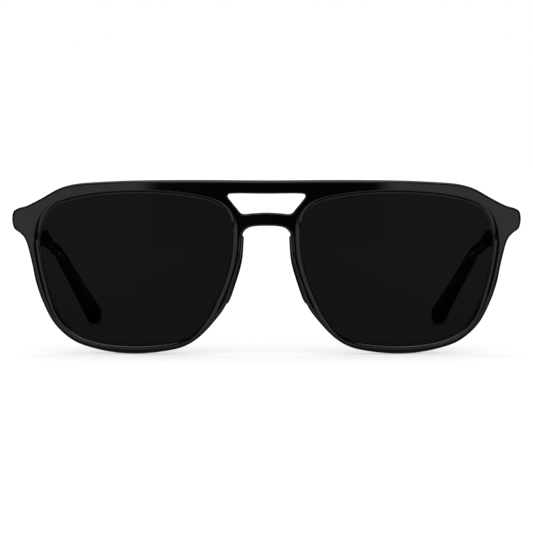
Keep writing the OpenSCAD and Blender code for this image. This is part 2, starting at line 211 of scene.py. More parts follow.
class Skin:
    """Collects points and faces with their normals, and makes one smooth piece of them."""

    def __init__(self):
        self.points = []
        self.count = 0
        self.faces = []
        self.normals = []
        self.finish = []

    def row(self, points, normals):
        points = np.asarray(points, float)
        self.points.append(points)
        at = np.arange(self.count, self.count + len(points))
        self.count += len(points)
        return Row(at, unit(np.broadcast_to(np.asarray(normals, float), points.shape)))

    def strip(self, rows, closed=True, finish=0):
        """Faces between each row and the next one, which has as many points."""
        for a, b in zip(rows, rows[1:]):
            count = len(a.at)
            for i in range(count if closed else count - 1):
                j = (i + 1) % count
                corners = [(a, i), (a, j), (b, j), (b, i)]
                self.face([r.at[k] for r, k in corners], [r.normals[k] for r, k in corners], finish)

    def face(self, at, normals, finish=0):
        kept = [k for k in range(len(at)) if at[k] != at[k - 1]]
        if len(kept) > 2:
            self.faces.append([int(at[k]) for k in kept])
            self.normals.append([normals[k] for k in kept])
            self.finish.append(finish)

    def cap(self, rows, place):
        """A smooth cap that the closed rows bound. place(x, z) gives its points and normals."""
        everything = np.vstack(self.points)
        rims = [everything[r.at][:, [0, 2]] for r in rows]
        rim_points = np.vstack(rims)
        low, high = rim_points.min(axis=0), rim_points.max(axis=0)
        grid = np.stack(np.meshgrid(
            np.arange(low[0] + CAP_STEP / 2, high[0], CAP_STEP),
            np.arange(low[1] + CAP_STEP / 2, high[1], CAP_STEP)), axis=-1).reshape(-1, 2)
        grid = grid[inside(grid, rims)]
        clear = [np.min(np.linalg.norm(rim_points - p, axis=1)) > CAP_STEP / 3 for p in grid]
        grid = grid[np.array(clear, bool)] if len(grid) else grid
        co, normals = place(grid[:, 0], grid[:, 1])
        middle = self.row(co, normals) if len(grid) else Row(np.zeros(0, int), np.zeros((0, 3)))
        at = np.concatenate([r.at for r in rows] + [middle.at])
        normals = np.vstack([r.normals for r in rows] + [middle.normals])
        edges, start = [], 0
        for r in rows:
            count = len(r.at)
            edges += [(start + i, start + (i + 1) % count) for i in range(count)]
            start += count
        flat = np.vstack([rim_points, grid]) / MM
        found = delaunay_2d_cdt([Vector(p) for p in flat], edges, [], 0, 1e-7, True)
        origin = [o[0] for o in found[3]]
        triangles = np.array([[origin[k] for k in f] for f in found[2]])
        centres = flat[triangles].mean(axis=1) * MM
        for triangle in triangles[inside(centres, rims)]:
            self.face(at[triangle], normals[triangle])

    def piece(self, name, materials):
        points = np.vstack(self.points)
        faces, normals = [], []
        for face, corner_normals in zip(self.faces, self.normals):
            p = points[face]
            out = np.cross(p[1] - p[0], p[2] - p[0])
            if len(face) == 4:
                out = np.cross(p[2] - p[0], p[3] - p[1])
            if np.dot(out, np.sum(corner_normals, axis=0)) < 0:
                face, corner_normals = face[::-1], corner_normals[::-1]
            faces.append(face)
            normals.extend(corner_normals)
        mesh = bpy.data.meshes.new(name)
        mesh.from_pydata(points.tolist(), [], faces)
        mesh.polygons.foreach_set("use_smooth", [True] * len(faces))
        mesh.polygons.foreach_set("material_index", self.finish)
        for material in materials:
            mesh.materials.append(material)
        mesh.normals_split_custom_set([Vector(n) for n in normals])
        mesh.validate()
        return link(name, mesh)


def link(name, data):
    found = bpy.data.objects.new(name, data)
    bpy.context.scene.collection.objects.link(found)
    return found


def solid(name, rings, material):
    """One closed smooth piece through rings that have as many points each."""
    count = len(rings[0])
    faces = [list(range(count)), list(range((len(rings) - 1) * count, len(rings) * count))]
    for k in range(len(rings) - 1):
        for i in range(count):
            a, b = k * count + i, k * count + (i + 1) % count
            faces.append([a, b, b + count, a + count])
    mesh = bpy.data.meshes.new(name)
    mesh.from_pydata(np.vstack(rings).tolist(), [], faces)
    shape = bmesh.new()
    shape.from_mesh(mesh)
    bmesh.ops.recalc_face_normals(shape, faces=shape.faces)
    shape.to_mesh(mesh)
    shape.free()
    mesh.materials.append(material)
    mesh.shade_smooth()
    mesh.set_sharp_from_angle(angle=SHARP)
    return link(name, mesh)


def bored(piece, bores):
    """The piece with round bores cut out of it, each from one end to the other, with a radius."""
    shape = bmesh.new()
    for start, end, radius in bores:
        start, end = Vector(start), Vector(end)
        turn = (end - start).to_track_quat("Z", "Y").to_matrix().to_4x4()
        bmesh.ops.create_cone(
            shape, cap_ends=True, segments=72, radius1=radius, radius2=radius,
            depth=(end - start).length, matrix=Matrix.Translation((start + end) / 2) @ turn)
    mesh = bpy.data.meshes.new("cutter")
    shape.to_mesh(mesh)
    shape.free()
    cutter = link("cutter", mesh)
    cut = piece.modifiers.new("bores", "BOOLEAN")
    cut.operation, cut.solver, cut.object = "DIFFERENCE", "EXACT", cutter
    found = bpy.data.meshes.new_from_object(piece.evaluated_get(
        bpy.context.evaluated_depsgraph_get()))
    piece.modifiers.remove(cut)
    piece.data = found
    bpy.data.objects.remove(cutter)
    found.shade_smooth()
    found.set_sharp_from_angle(angle=SHARP)
    return piece


def inside(points, loops):
    """Which points lie inside the loops, where a loop within a loop is a hole."""
    found = np.zeros(len(points), bool)
    for loop in loops:
        x, z = loop.T
        x2, z2 = np.roll(x, -1), np.roll(z, -1)
        for k, (px, pz) in enumerate(points):
            crosses = (z > pz) != (z2 > pz)
            at = x[crosses] + (pz - z[crosses]) * (x2 - x)[crosses] / (z2 - z)[crosses]
            found[k] ^= bool(np.sum(at > px) % 2)
    return found


def spread(out):
    """A flat direction in x and z as a direction in space."""
    return np.stack([out[:, 0], np.zeros(len(out)), out[:, 1]], axis=1)


def wrapped_row(skin, edge, inset, depth, turn):
    """A row along an edge: its normal turns from the face, at 0, by way of out, to the rear."""
    flat = edge.inset(inset)
    x = flat[:, 0]
    co = on_wrap(x, flat[:, 1], depth)
    turn = np.radians(np.broadcast_to(turn, x.shape))[:, None]
    return skin.row(co, wrap_normal(x) * np.cos(turn) + spread(edge.out) * np.sin(turn))


def turned(skin, edge, row, turn):
    """The same points again, with another normal, where the skin has a sharp edge."""
    x = np.vstack(skin.points)[row.at][:, 0]
    turn = np.radians(turn)
    normals = wrap_normal(x) * np.cos(turn) + spread(edge.out) * np.sin(turn)
    return Row(row.at, unit(normals))


# ---- The front ----

FRONT_TURNS = (0, 6, 14, 24, 36, 48, 60, 72, 82, 90)    # of the normals round an edge
REAR_TURNS = (90, 100, 115, 135, 155, 170, 180)
REAR_ROUND = 0.45 * MM
REAR_ROUND_LENS = 0.3 * MM
GAP_ROUND = 0.45 * MM
GAP_SHARE = 0.38                    # of the breadth of acetate beside it, at most
RIM_X, RIM_HIGH = 9 * MM, 24 * MM   # the lower half of a rim lies outside and below these
BLOCK_CHAMFER = 0.25 * MM           # round the rear face of an end piece
BLOCK_CORNER = 0.6 * MM             # round the corner between its wall and its ledge

# Each of these holds round an edge, at its nose side, temple side, top and bottom. Lengths
# are in mm and angles in degrees. A share is of the breadth of acetate beside the edge.
EDGE_ROUND = (1.0, 0.8, 0.85, 0.5)
EDGE_ROUND_LOW = (1.0, 0.8, 0.85, 1.1)    # of the lower half of a rim
EDGE_SHARE = (0.41, 0.31, 0.35, 0.41)
BEVEL_WIDTH = (1.46, 2.1, 0.98, 1.3)
BEVEL_SHARE = (0.57, 0.66, 0.4, 0.55)
BEVEL_LIP = (0.01, 0.48, 0.75, 0.55)
BEVEL_FOOT = (0.0, 0.2, 0.30, 0.2)
BEVEL_DEEP = (1.04, 1.04, 0.62, 1.04)
BEVEL_STEEP = (40, 38, 45, 45)
BEVEL_EASE = (0.7, 0.7, 0.4, 0.6)   # the smaller, the sooner it turns down


def in_block(x, z):
    """Where the front reaches back to an end piece."""
    return (np.abs(x) > BLOCK_X) & (z > BLOCK_LOW)


def with_block_ends(points):
    """The outline with two points close together wherever an end block starts or ends."""
    found = []
    for a, b in zip(points, np.roll(points, -1, axis=0)):
        found.append(a)
        if in_block(*a) != in_block(*b):
            low, high = 0.0, 1.0
            while high - low > 1e-6:
                middle = (low + high) / 2
                same = in_block(*(a + (b - a) * middle)) == in_block(*a)
                low, high = (middle, high) if same else (low, middle)
            nudge = 0.02 * MM / np.linalg.norm(b - a)
            found += [a + (b - a) * (low + side * nudge) for side in (-1, 1)]
    return np.array(found)


def arc(start, corner, end, t):
    """A point on the arc that cuts a corner, where t goes from 0 to 1."""
    return (1 - t) ** 2 * start + 2 * t * (1 - t) * corner + t ** 2 * end


def eased(values, rounds=6):
    """Values round a closed line, each drawn towards its neighbours."""
    for _ in range(rounds):
        values = (np.roll(values, 1) + 2 * values + np.roll(values, -1)) / 4
    return values


def blend(edge, sides):
    """A value round an edge, from what it is on the four sides of the rim."""
    nose, temple, top, bottom = sides
    across = edge.out[:, 0] * np.sign(edge.points[:, 0]) * (1 if edge.hole else -1)
    up = edge.out[:, 1] * (-1 if edge.hole else 1)
    share = edge.out[:, 0] ** 2
    return share * np.where(across > 0, nose, temple) + (1 - share) * np.where(up > 0, top, bottom)


def edge_radius(edge, others):
    """How round the face's outer edge is: finer under the bridge and the end pieces."""
    x, z = np.abs(edge.points).T
    low = (x > RIM_X) & (z < RIM_HIGH)
    wanted = np.where(low, blend(edge, EDGE_ROUND_LOW), blend(edge, EDGE_ROUND))
    return eased(np.minimum(wanted * MM, blend(edge, EDGE_SHARE) * edge.room(others)))


class Bevel:
    """The rolled bevel round a lens, and the fine ledge at its foot.

    It starts on the face at a width outside the lens, turns down to a lip, drops steeply
    from there to the foot, and ends in a ledge that rises a little towards the opening.
    """

    ROWS = 9
    TILT = 11                # of the ledge, in degrees
    LIP_ROUND = 0.06 * MM
    LIP_SHARE = 0.7          # of the width, at most

    def __init__(self, edge, others):
        limit = eased(blend(edge, BEVEL_SHARE) * edge.room(others), 30)
        self.width = eased(np.minimum(blend(edge, BEVEL_WIDTH) * MM, limit))
        self.foot = eased(blend(edge, BEVEL_FOOT) * MM)
        self.lip = np.minimum(eased(blend(edge, BEVEL_LIP) * MM), self.width * self.LIP_SHARE)
        self.deep = eased(blend(edge, BEVEL_DEEP) * MM)
        self.steep = eased(np.radians(blend(edge, BEVEL_STEEP)))
        self.ease = eased(blend(edge, BEVEL_EASE))

    def rows(self, skin, edge):
        """From the face to the foot."""
        fine = np.linspace(0, 1, 80)[:, None]
        slopes = np.tan(self.steep * fine ** self.ease)
        depths = np.vstack([np.zeros_like(self.lip), np.cumsum((slopes[1:] + slopes[:-1]) / 2, 0)])
        run = self.width - self.lip
        depths = depths * run / (len(fine) - 1)
        found = []
        for share in np.linspace(0, 0.94, self.ROWS):
            depth = np.array([np.interp(share, fine[:, 0], column) for column in depths.T])
            found.append((self.width - run * share, depth, self.steep * share ** self.ease))
        start, corner, end = found[-1], (self.lip, depths[-1]), (self.foot, self.deep)
        wall = np.arctan2(end[1] - corner[1], corner[0] - end[0])
        last = (corner[0] - self.LIP_ROUND * np.cos(wall),
                corner[1] + self.LIP_ROUND * np.sin(wall))
        for t in (0.25, 0.5, 0.75, 1.0):
            inset, depth = (arc(start[i], corner[i], last[i], t) for i in (0, 1))
            found.append((inset, depth, start[2] + (wall - start[2]) * t))
        found.append((end[0], end[1], wall))
        return [wrapped_row(skin, edge, inset, depth, np.degrees(turn))
                for inset, depth, turn in found]

    def ledge(self, skin, edge, foot, bottom):
        """From the foot to the opening, and down its wall to a depth."""
        rise = self.foot * math.tan(math.radians(self.TILT))
        top = self.deep - 0.85 * rise
        return [
            turned(skin, edge, foot, -self.TILT),
            wrapped_row(skin, edge, 0.3 * self.foot, top, -self.TILT),
            wrapped_row(skin, edge, 0.1 * self.foot, top + 0.1 * self.foot, 40),
            wrapped_row(skin, edge, 0, top + 0.3 * self.foot, 85),
            wrapped_row(skin, edge, 0, bottom, 90),
        ]


def rear_row(skin, edge, inset, turn, block):
    """A row round the rear edge, where the end pieces reach farther back than the rims."""
    flat = edge.inset(inset)
    x = flat[:, 0]
    rear = np.where(block, BLOCK_Y, wrap_y(x, FRONT_T))
    angle = math.radians(turn)
    y = rear - REAR_ROUND * (1 + math.cos(angle))
    back = np.where(block[:, None], (0.0, 1.0, 0.0), -wrap_normal(x, FRONT_T))
    co = np.stack([x, y, flat[:, 1]], axis=1)
    return skin.row(co, spread(edge.out) * math.sin(angle) - back * math.cos(angle))


def outer_rows(skin, edge, radius, block):
    """The rounded front edge, the side wall and the rounded rear edge."""
    rows = []
    for turn in FRONT_TURNS:
        angle = math.radians(turn)
        rows.append(wrapped_row(
            skin, edge, radius * (1 - math.sin(angle)), radius * (1 - math.cos(angle)), turn))
    for turn in REAR_TURNS:
        inset = REAR_ROUND * (1 - math.sin(math.radians(turn)))
        rows.append(rear_row(skin, edge, inset, turn, block))
    skin.strip(rows)
    return rows[0], rows[-1]


def lens_rows(skin, edge, bevel):
    """The bevel round a lens, the groove that holds the lens, and the rear edge."""
    groove_front = LENS_SETBACK - FIT_GAP
    groove_rear = LENS_SETBACK + LENS_T + FIT_GAP
    rows = bevel.rows(skin, edge)
    skin.strip(rows)
    ledge = bevel.ledge(skin, edge, rows[-1], groove_front)
    skin.strip(ledge)
    corner = wrapped_row(skin, edge, GROOVE, groove_front, 180)
    skin.strip([turned(skin, edge, ledge[-1], 180), corner])
    floor = wrapped_row(skin, edge, GROOVE, groove_rear, 90)
    skin.strip([turned(skin, edge, corner, 90), floor])
    rear_lip = wrapped_row(skin, edge, 0, groove_rear, 0)
    skin.strip([turned(skin, edge, floor, 0), rear_lip])
    rear = []
    for turn in REAR_TURNS:
        inset = REAR_ROUND_LENS * (1 - math.sin(math.radians(turn)))
        depth = FRONT_T - REAR_ROUND_LENS * (1 + math.cos(math.radians(turn)))
        rear.append(wrapped_row(skin, edge, inset, depth, turn))
    skin.strip([turned(skin, edge, rear_lip, 90)] + rear)
    return rows[0], rear[-1]


def block_wall(skin, start, end, first, last):
    """The inner wall and the ledge of an end block, between two points on the rear edge.

    start and end lie on the rear of the front, first and last beside them on the block.
    Returns the points at its foot and round its rear edge.
    """
    everything = np.vstack(skin.points)
    p, q = everything[start][[0, 2]], everything[end][[0, 2]]
    side = np.sign(p[0])
    corner = np.array([side * BLOCK_X, BLOCK_LOW])

    def leg(point):
        """From the corner's arc to the point, along the wall or the ledge."""
        ahead = (0, 1) if abs(point[1] - BLOCK_LOW) > abs(point[0] - corner[0]) else (side, 0)
        ahead = np.array(ahead, float)
        length = float(np.dot(point - corner, ahead))
        runs = np.linspace(BLOCK_CORNER, length - 0.4 * MM, max(2, int(length / MM)))
        return [corner + ahead * run for run in runs]

    to_p, to_q = leg(p), leg(q)
    turn = [arc(to_p[0], corner, to_q[0], t) for t in (0.2, 0.4, 0.6, 0.8)]
    path = np.array([p] + to_p[::-1] + turn + to_q + [q])
    way = unit(np.gradient(path, axis=0))
    out = np.stack([way[:, 1], -way[:, 0]], axis=1)
    if np.dot(out[len(out) // 2], np.array([side, 1])) > 0:
        out = -out
    normals = spread(out)
    inner = path[1:-1]
    foot = skin.row(on_wrap(*inner.T, FRONT_T), normals[1:-1])
    rows = [Row(np.concatenate([[start], foot.at, [end]]), normals)]
    for turn in (0, 30, 60, 90):
        angle = math.radians(turn)
        moved = inner - out[1:-1] * BLOCK_CHAMFER * (1 - math.cos(angle))
        y = np.full(len(moved), BLOCK_Y - BLOCK_CHAMFER * (1 - math.sin(angle)))
        turned_out = normals * math.cos(angle) + np.array([0, 1, 0]) * math.sin(angle)
        row = skin.row(np.stack([moved[:, 0], y, moved[:, 1]], axis=1), turned_out[1:-1])
        rows.append(Row(np.concatenate([[first], row.at, [last]]), turned_out))
    skin.strip(rows, closed=False)
    return foot.at, row.at


def straight_back(points):
    """A normal for each of the points."""
    return np.tile([0.0, 1.0, 0.0], (len(points), 1))


def rear_cap(skin, outer_rear, block, other_rows):
    """The rear face of the front, and those of the two end blocks, with their inner walls."""
    count = len(block)
    at = outer_rear.at
    shift = next(i for i in range(count) if block[i - 1] and not block[i])
    order = [(shift + i) % count for i in range(count)]
    main, current = [], []
    for i in order + [order[0]]:
        if block[i]:
            current.append(i)
            continue
        if current:
            before, after = current[0] - 1, i
            foot, rim = block_wall(
                skin, at[before], at[after % count], at[current[0]], at[current[-1]])
            main += list(foot)
            loop = np.concatenate([at[current], rim[::-1]])
            skin.cap([Row(loop, straight_back(loop))], lambda x, z: (
                np.stack([x, np.full_like(x, BLOCK_Y), z], axis=1), straight_back(x)))
            current = []
        if i != order[0] or not main:
            main.append(at[i])
    main = np.array(main)
    x = np.vstack(skin.points)[main][:, 0]
    rows = [Row(main, -wrap_normal(x, FRONT_T))] + other_rows
    skin.cap(rows, facing_back(FRONT_T))


def build_front(edges, material):
    """The acetate front, from its outer edge, the window of the bridge and the two openings."""
    outer, gap, lenses = edges
    holes = [gap] + lenses
    block = in_block(*outer.points.T)
    skin = Skin()
    outer_front, outer_rear = outer_rows(skin, outer, edge_radius(outer, holes), block)
    gap_radius = eased(np.minimum(GAP_ROUND, GAP_SHARE * gap.room([outer] + lenses)))
    rims = [outer_rows(skin, gap, gap_radius, np.zeros(len(gap.points), bool))]
    for lens in lenses:
        others = [outer] + [e for e in holes if e is not lens]
        rims.append(lens_rows(skin, lens, Bevel(lens, others)))
    skin.cap([outer_front] + [front for front, rear in rims], facing_forward(0))
    rear_cap(skin, outer_rear, block, [rear for front, rear in rims])
    return skin.piece("acetate_front", [material])


# ---- Lenses ----

# Round the rim of a lens, from its front face to its rear face: inset, depth, turn
LENS_RIM = (
    (0.02, 0.00, 0), (0.12, 0.01, 10), (0.30, 0.10, 30), (0.45, 0.30, 45), (0.60, 0.52, 60),
    (0.69, 0.80, 80), (0.69, 1.20, 100), (0.60, 1.48, 120), (0.45, 1.70, 135), (0.30, 1.90, 150),
    (0.12, 1.99, 170), (0.02, 2.00, 180),
)


def build_lens(name, edge, materials):
    """A lens that fills the opening in the rim and reaches into the groove round it."""
    skin = Skin()
    rows = [wrapped_row(skin, edge, inset * MM, LENS_SETBACK + depth * MM, -turn)
            for inset, depth, turn in LENS_RIM]
    skin.strip(rows, finish=1)
    skin.cap([rows[0]], facing_forward(LENS_SETBACK))
    skin.cap([rows[-1]], facing_back(LENS_SETBACK + LENS_T))
    return skin.piece(name, materials)


# ---- Nose pads ----

PAD_TOP, PAD_H = 33.7 * MM, 19.4 * MM
PAD_DEPTH, PAD_T = 7.2 * MM, 2.6 * MM
PAD_OVERHANG = 0.95 * MM
PAD_FLARE = math.radians(14)
NOSE_X, BRIDGE_LOW = 17.6 * MM, 36.6 * MM     # the rim's nose edge lies inside and below these


def rounded(value):
    """A cosine or sine drawn out towards the corners of its square."""
    return np.sign(value) * np.abs(value) ** (2 / 2.8)


def build_pad(name, side, edge, material):
    """A pad that follows the nose edge of the rim and stands on the rear of the front."""
    x, z = edge.points[:, 0] * side, edge.points[:, 1]
    nose = (x > 0) & (x < NOSE_X) & (z < BRIDGE_LOW)
    order = np.argsort(z[nose])
    way = np.linspace(0, 2 * math.pi, 72, endpoint=False)
    rings = []
    for turn in np.linspace(0, math.pi, 61):
        size = max(math.sin(turn), 0.02) ** 0.9
        height = PAD_TOP - PAD_H * (1 - math.cos(turn)) / 2
        rim = np.interp(height, z[nose][order], x[nose][order])
        thick = PAD_T * size
        foot = rim - PAD_OVERHANG * size ** 0.6 + thick / 2
        back = PAD_DEPTH * size * (0.45 + 0.55 * rounded(np.cos(way)))
        at_x = foot + thick / 2 * rounded(np.sin(way)) + back * math.sin(PAD_FLARE)
        at_y = wrap_y(foot, FRONT_T) + back * math.cos(PAD_FLARE)
        at_y = np.maximum(at_y, wrap_y(at_x, FRONT_T) + SEAT_GAP)
        rings.append(np.stack([at_x * side, at_y, np.full_like(way, height)], axis=1))
    return solid(name, rings, material)


# ---- Temples ----

HINGE = np.array([64.3 * MM, FACE_Y + 18.0 * MM, 32.5 * MM])
ARM_START = HINGE + np.array([0.7, -0.2, 0]) * MM
ARM_T, ARM_H, ARM_L = 1.7 * MM, 3.3 * MM, 58 * MM
LUG_T, LUG_H, LUG_L = 3.4 * MM, 4.4 * MM, 10 * MM
TONGUE_T, TONGUE_H, TONGUE_L = 1.1 * MM, 2.1 * MM, 44 * MM
TIP_T, TIP_H = 2.4 * MM, 3.8 * MM
END_T, END_H = 4.6 * MM, 6.2 * MM
BEND_START, BEND_L = 69 * MM, 16 * MM
STRAIGHT = BEND_START + BEND_L
SLOPE, DROP = math.radians(5), math.radians(28)
SPREAD, TURN_IN = math.radians(-0.8), math.radians(10.5)
RIVETS = (11.6 * MM, 18.8 * MM)                              # distances along the arm
RIVET_BORE, HINGE_BORE = 0.42 * MM, 1.4 * MM                 # radii
LUG_ROUND, SHOULDER_ROUND = 0.35 * MM, 0.18 * MM             # round the arm's two ends
TONGUE_ROUND, MOUTH_ROUND = 0.2 * MM, 0.3 * MM


def bend_angle(s, first, last):
    """The arm's angle in one plane at a distance along it."""
    return first + (last - first) * min(max((s - BEND_START) / BEND_L, 0), 1)


def temple_at(s):
    """Where the temple's line has come to at a distance along it, on the wearer's left."""
    def rate(first, last):
        return (last - first) / BEND_L

    def run(first, last):
        bend = (math.sin(bend_angle(s, first, last)) - math.sin(first)) / rate(first, last)
        return (min(s, BEND_START) * math.cos(first) + bend
                + max(s - STRAIGHT, 0) * math.cos(last))

    def fall(first, last):
        bend = (math.cos(first) - math.cos(bend_angle(s, first, last))) / rate(first, last)
        return (min(s, BEND_START) * math.sin(first) + bend
                + max(s - STRAIGHT, 0) * math.sin(last))

    return ARM_START + np.array([-fall(SPREAD, TURN_IN), run(SLOPE, DROP), -fall(SLOPE, DROP)])


TEMPLE_L = STRAIGHT + (temple_at(STRAIGHT)[2] - END_H / 2) / math.sin(DROP)


def temple_ring(side, s, width, height, outwards=0.0):
    """A ring of points across the temple's line at a distance along it."""
    pitch, yaw = bend_angle(s, SLOPE, DROP), bend_angle(s, SPREAD, TURN_IN)
    across = np.array([math.cos(yaw), math.sin(yaw), 0])
    up = np.array([-math.sin(yaw) * math.sin(pitch), math.cos(yaw) * math.sin(pitch),
                   math.cos(pitch)])
    turn = np.linspace(0, 2 * math.pi, 64, endpoint=False)
    points = (temple_at(s) + np.outer(outwards + rounded(np.cos(turn)) * width / 2, across)
              + np.outer(rounded(np.sin(turn)) * height / 2, up))
    return points * (side, 1, 1)


def rounded_end(ring, s, radius, ahead):
    """Rings round the edge of a flat end at s. ahead is 1 where the piece lies behind it."""
    found = []
    for turn in np.radians((0, 15, 30, 45, 60, 75, 90)):
        found.append(ring(s + ahead * radius * (1 - math.cos(turn)),
                          2 * radius * (1 - math.sin(turn))))
    return found if ahead > 0 else found[::-1]


def build_arm(name, side, material):
    """The metal arm, from the lug that turns on the hinge to the tongue inside the tip."""
    def lug(s, less=0.0):
        ease = (1 + math.cos(math.pi * min(s / LUG_L, 1))) / 2
        width, height = ARM_T + (LUG_T - ARM_T) * ease, ARM_H + (LUG_H - ARM_H) * ease
        return temple_ring(side, s, width - less, height - less, (width - ARM_T) / 2)

    def tongue(s, less=0.0):
        return temple_ring(side, s, TONGUE_T - less, TONGUE_H - less)

    rings = rounded_end(lug, 0, LUG_ROUND, 1)
    rings += [lug(s) for s in np.linspace(0.8 * MM, LUG_L, 20)]
    rings += [lug(s) for s in np.linspace(LUG_L, ARM_L - 0.3 * MM, 24)[1:]]
    rings += rounded_end(lug, ARM_L, SHOULDER_ROUND, -1)
    rings += [tongue(s) for s in np.linspace(ARM_L, ARM_L + TONGUE_L - 0.5 * MM, 40)]
    rings += rounded_end(tongue, ARM_L + TONGUE_L, TONGUE_ROUND, -1)
    piece = solid(name, rings, material)
    hinge, tall = HINGE * (side, 1, 1), np.array([0, 0, LUG_H])
    cutters = [(hinge - tall, hinge + tall, HINGE_BORE)]
    for s in RIVETS:
        middle = temple_at(s) * (side, 1, 1)
        out = np.array([math.cos(SPREAD) * side, math.sin(SPREAD), 0]) * 3 * MM
        cutters.append((middle - out, middle + out, RIVET_BORE))
    return bored(piece, cutters)


def build_tip(name, side, material):
    """The acetate tip: a socket for the arm's tongue, and a body that swells to a round end."""
    def body(s, less=0.0):
        flare = max((s - ARM_L) / (TEMPLE_L - ARM_L), 0) ** 2
        return temple_ring(side, s, TIP_T + (END_T - TIP_T) * flare - less,
                           TIP_H + (END_H - TIP_H) * flare - less)

    mouth, slack = ARM_L + FIT_GAP, 2 * FIT_GAP
    rings = [temple_ring(side, s, TONGUE_T + slack, TONGUE_H + slack)
             for s in np.linspace(mouth, ARM_L + TONGUE_L + 4 * FIT_GAP, 40)[::-1]]
    rings += rounded_end(body, mouth, MOUTH_ROUND, 1)
    rings += [body(s) for s in np.linspace(mouth + 0.6 * MM, TEMPLE_L, 90)]
    for turn in np.radians(np.linspace(4, 88, 22)):
        rings.append(temple_ring(side, TEMPLE_L + 0.49 * END_H * math.sin(turn),
                                 END_T * math.cos(turn) ** 0.6, END_H * math.cos(turn)))
    return solid(name, rings, material)


# ---- Materials ----

class Nodes:
    """A short way to write a material's nodes."""

    def __init__(self, name):
        self.material = bpy.data.materials.new(name)
        self.material.use_nodes = True
        self.tree = self.material.node_tree
        self.tree.nodes.clear()
        self.output = self.add("OutputMaterial")
        self.place = self.add("TexCoord").outputs["Object"]

    def add(self, kind, inputs=None, **settings):
        node = self.tree.nodes.new("ShaderNode" + kind)
        for key, value in settings.items():
            setattr(node, key, value)
        for key, value in (inputs or {}).items():
            if isinstance(value, bpy.types.NodeSocket):
                self.tree.links.new(value, node.inputs[key])
            else:
                node.inputs[key].default_value = value
        return node

    def noise(self, scale, stretch=(1, 1, 1), detail=3.0, roughness=0.5):
        """Noise over the piece: scale is in waves a metre, each axis drawn out by stretch."""
        moved = self.add("Mapping", {"Vector": self.place, "Scale": stretch})
        found = self.add("TexNoise", {
            "Vector": moved.outputs[0], "Scale": scale, "Detail": detail, "Roughness": roughness})
        return found.outputs["Fac"]

    def ramp(self, value, low, high, to_low, to_high):
        """The value stretched from low..high to to_low..to_high."""
        return self.add("MapRange", {
            "Value": value, "From Min": low, "From Max": high,
            "To Min": to_low, "To Max": to_high}).outputs["Result"]

    def colour(self, value, dark, light):
        mixed = self.add("Mix", {0: value, 6: dark + (1,), 7: light + (1,)}, data_type="RGBA")
        return mixed.outputs[2]

    def bump(self, height, distance, under=None):
        inputs = {"Height": height, "Distance": distance, "Strength": 1.0}
        if under:
            inputs["Normal"] = under
        return self.add("Bump", inputs).outputs["Normal"]

    def shader(self, **inputs):
        named = {key.replace("_", " "): value for key, value in inputs.items()}
        found = self.add("BsdfPrincipled", named)
        self.tree.links.new(found.outputs[0], self.output.inputs["Surface"])
        return self.material


def polished_acetate(name):
    """Black acetate from the polishing wheel: deep gloss, faint clouds and hairline marks."""
    n = Nodes(name)
    clouds = n.noise(60, detail=4.0)
    hairlines = n.noise(900, stretch=(0.15, 1, 2.2), detail=6.0, roughness=0.7)
    colour = n.colour(clouds, (0.0016, 0.0016, 0.0018), (0.0032, 0.0032, 0.0035))
    rough = n.add("Math", {
        0: n.ramp(clouds, 0.35, 0.7, 0.035, 0.075),
        1: n.ramp(hairlines, 0.62, 0.72, 0.0, 0.06)}, operation="ADD").outputs[0]
    pull = n.bump(n.noise(160), 0.004 * MM)
    normal = n.bump(hairlines, 0.0015 * MM, under=pull)
    return n.shader(Base_Color=colour, Roughness=rough, Normal=normal,
                    Specular_IOR_Level=0.335, IOR=1.49)


def black_lacquer(name):
    """Satin black lacquer on the metal arms, with a fine orange peel and rubbed places."""
    n = Nodes(name)
    rub = n.noise(120, stretch=(1, 0.3, 1), detail=5.0, roughness=0.65)
    peel = n.noise(2600, detail=2.0)
    colour = n.colour(rub, (0.0045, 0.0045, 0.0048), (0.010, 0.010, 0.011))
    rough = n.ramp(rub, 0.3, 0.75, 0.36, 0.24)
    normal = n.bump(peel, 0.004 * MM)
    return n.shader(Base_Color=colour, Roughness=rough, Normal=normal,
                    Specular_IOR_Level=0.4, IOR=1.5)


def satin_steel(name):
    """Fine satin steel, drawn along the hinge, a little darker where it has been handled."""
    n = Nodes(name)
    drawn = n.noise(7000, stretch=(1, 0.05, 1), detail=4.0, roughness=0.6)
    handled = n.noise(350, detail=3.0)
    colour = n.colour(handled, (0.34, 0.345, 0.355), (0.50, 0.505, 0.515))
    rough = n.ramp(drawn, 0.3, 0.7, 0.24, 0.36)
    broken_edges = n.add("Bevel", {"Radius": 0.09 * MM}, samples=6).outputs["Normal"]
    normal = n.bump(drawn, 0.0008 * MM, under=broken_edges)
    return n.shader(Base_Color=colour, Metallic=1.0, Roughness=rough, Normal=normal)


def dark_lens(name):
    """A dark grey lens: it passes under one hundredth of the light and hardly reflects."""
    n = Nodes(name)
    haze = n.noise(25, detail=2.0)
    colour = n.colour(haze, (0.0064, 0.0064, 0.0065), (0.0069, 0.0069, 0.0070))
    rough = n.ramp(haze, 0.5, 0.8, 0.0, 0.003)
    return n.shader(Base_Color=colour, Roughness=rough, Transmission_Weight=1.0, IOR=1.06)


def lens_edge(name):
    """The polished edge of a lens, which catches the light beside the rim."""
    n = Nodes(name)
    fine = n.noise(1500, detail=3.0)
    colour = n.colour(fine, (0.0015, 0.0015, 0.0016), (0.003, 0.003, 0.0031))
    rough = n.ramp(fine, 0.3, 0.7, 0.05, 0.12)
    return n.shader(Base_Color=colour, Roughness=rough, Specular_IOR_Level=0.4, IOR=1.5)


# ---- Camera, light and floor ----

VIEW_DISTANCE = 0.800     # from the lens of the camera to the face of the bridge
VIEW_HEIGHT = 0.0603
AIM_HEIGHT = 0.0251
VIEW_WIDTH = 0.1511       # what the picture takes in at the bridge
SENSOR = 36               # the width of the camera's sensor, in mm


